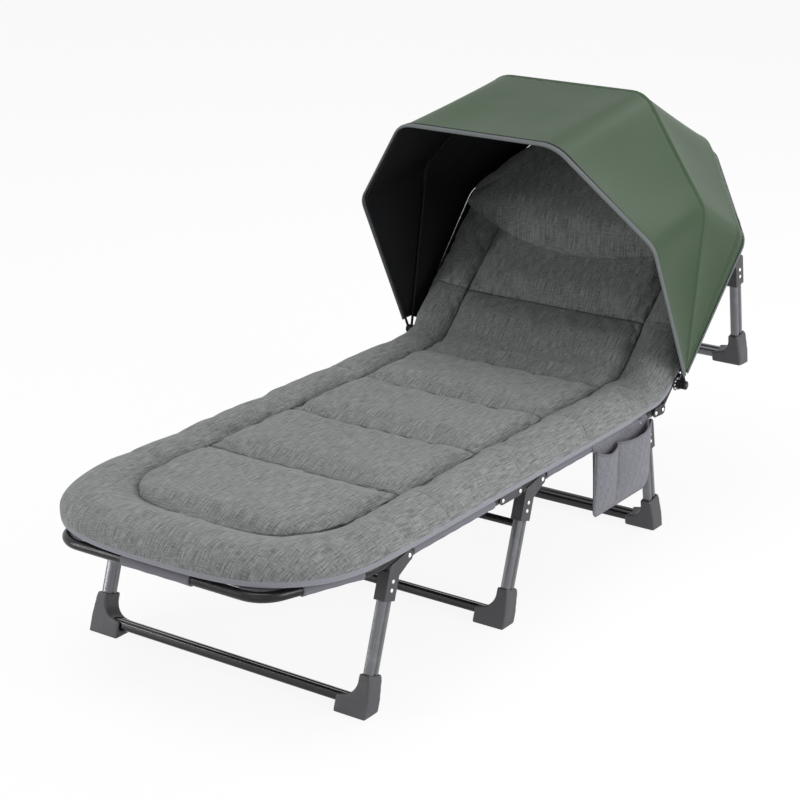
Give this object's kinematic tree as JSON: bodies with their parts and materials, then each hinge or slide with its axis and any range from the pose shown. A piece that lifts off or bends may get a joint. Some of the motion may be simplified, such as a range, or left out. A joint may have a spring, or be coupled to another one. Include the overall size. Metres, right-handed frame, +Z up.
{
  "type": "folding cot with canopy",
  "caption": "Folding camp cot with a raised backrest, quilted pad and pillow, folding tube legs, side pocket and a fold-back cloth canopy over the head end.",
  "frame": {"origin": "on the ground, at the centre of the bounding box in X and Y", "axes": "+Y from the foot end to the head end, +X to the sleeper's left, +Z up"},
  "size_m": [0.7262, 1.748, 0.9152],
  "materials": {
    "frame": "satin",
    "leg": "dark metallic, glossy",
    "bracket": "satin",
    "bow": "satin",
    "cap": "matt",
    "rivet": "bright",
    "sling": "coarse grey weave",
    "pad": "grey melange, quilted",
    "canopy": "olive green coated weave, black inside"
  },
  "bodies": {
    "seat": {"seat_rail_left": "frame", "seat_rail_right": "frame", "seat_sling": "sling", "seat_pad": "pad", "hinge_housing_left": "frame", "hinge_housing_right": "frame", "side_pocket": "sling", "middle_leg_pin_left": "rivet", "middle_leg_pin_right": "rivet", "rear_leg_pin_left": "rivet", "rear_leg_pin_right": "rivet"},
    "fold_link": {"fold_link_left": "frame", "fold_link_right": "frame", "fold_pad": "pad"},
    "foot_section": {"foot_tube": "frame", "foot_sling": "sling", "foot_pad": "pad", "foot_leg_pin_left": "rivet", "foot_leg_pin_right": "rivet"},
    "backrest": {"backrest_tube": "frame", "backrest_sling": "sling", "backrest_pad": "pad", "pillow": "pad", "hinge_knuckle_left": "frame", "hinge_knuckle_right": "frame", "canopy_hub_left": "bow", "canopy_hub_right": "bow", "head_leg_pin_left": "rivet", "head_leg_pin_right": "rivet", "rear_bow": "bow", "canopy_rear_panel": "canopy"},
    "foot_leg": {"foot_leg_tube": "leg", "foot_leg_cap_left": "cap", "foot_leg_cap_right": "cap", "foot_leg_bracket_left": "bracket", "foot_leg_bracket_right": "bracket"},
    "middle_leg": {"middle_leg_tube": "leg", "middle_leg_brace": "bow", "middle_leg_cap_left": "cap", "middle_leg_cap_right": "cap", "middle_leg_bracket_left": "bracket", "middle_leg_bracket_right": "bracket"},
    "rear_leg": {"rear_leg_tube": "leg", "rear_leg_cap_left": "cap", "rear_leg_cap_right": "cap", "rear_leg_bracket_left": "bracket", "rear_leg_bracket_right": "bracket"},
    "head_leg": {"head_leg_tube": "leg", "head_leg_cap_left": "cap", "head_leg_cap_right": "cap", "head_leg_bracket_left": "bracket", "head_leg_bracket_right": "bracket"},
    "middle_bow": {"middle_bow": "bow", "canopy_middle_panel": "canopy"},
    "front_bow": {"front_bow": "bow", "canopy_front_panel": "canopy"}
  },
  "joints": [
    {"name": "fold_link_turn", "type": "hinge", "parent": "seat", "child": "fold_link", "pos_m": [0, -0.169, 0.27], "axis": [-1, 0, 0], "range_deg": [0, 75], "deforming": ["fold_pad"]},
    {"name": "foot_section_fold", "type": "hinge", "parent": "fold_link", "child": "foot_section", "pos_m": [0, -0.231, 0.27], "axis": [-1, 0, 0], "range_deg": [0, 75], "deforming": ["foot_pad"]},
    {"name": "backrest_tilt", "type": "hinge", "parent": "seat", "child": "backrest", "pos_m": [0, 0.405, 0.27], "axis": [-1, 0, 0], "range_deg": [-37, 43], "deforming": ["backrest_pad"]},
    {"name": "foot_leg_fold", "type": "hinge", "parent": "foot_section", "child": "foot_leg", "pos_m": [0, -0.542, 0.267], "axis": [1, 0, 0], "range_deg": [0, 105]},
    {"name": "middle_leg_fold", "type": "hinge", "parent": "seat", "child": "middle_leg", "pos_m": [0, -0.0845, 0.267], "axis": [1, 0, 0], "range_deg": [0, 105]},
    {"name": "rear_leg_fold", "type": "hinge", "parent": "seat", "child": "rear_leg", "pos_m": [0, 0.307, 0.267], "axis": [-1, 0, 0], "range_deg": [0, 60]},
    {"name": "head_leg_swing", "type": "hinge", "parent": "backrest", "child": "head_leg", "pos_m": [0, 0.6985, 0.5396], "axis": [-1, 0, 0], "range_deg": [-38, 58]},
    {"name": "canopy_middle_fold", "type": "hinge", "parent": "backrest", "child": "middle_bow", "pos_m": [0, 0.44, 0.3204], "axis": [-1, 0, 0], "range_deg": [0, 27.5], "deforming": ["canopy_middle_panel"]},
    {"name": "canopy_front_fold", "type": "hinge", "parent": "middle_bow", "child": "front_bow", "pos_m": [0, 0.44, 0.3204], "axis": [-1, 0, 0], "range_deg": [0, 33.5], "deforming": ["canopy_front_panel"]}
  ],
  "couplings": [
    {"joint": "foot_section_fold", "follows": "fold_link_turn", "ratio": 1},
    {"joint": "canopy_front_fold", "follows": "canopy_middle_fold", "ratio": 1.18}
  ]
}
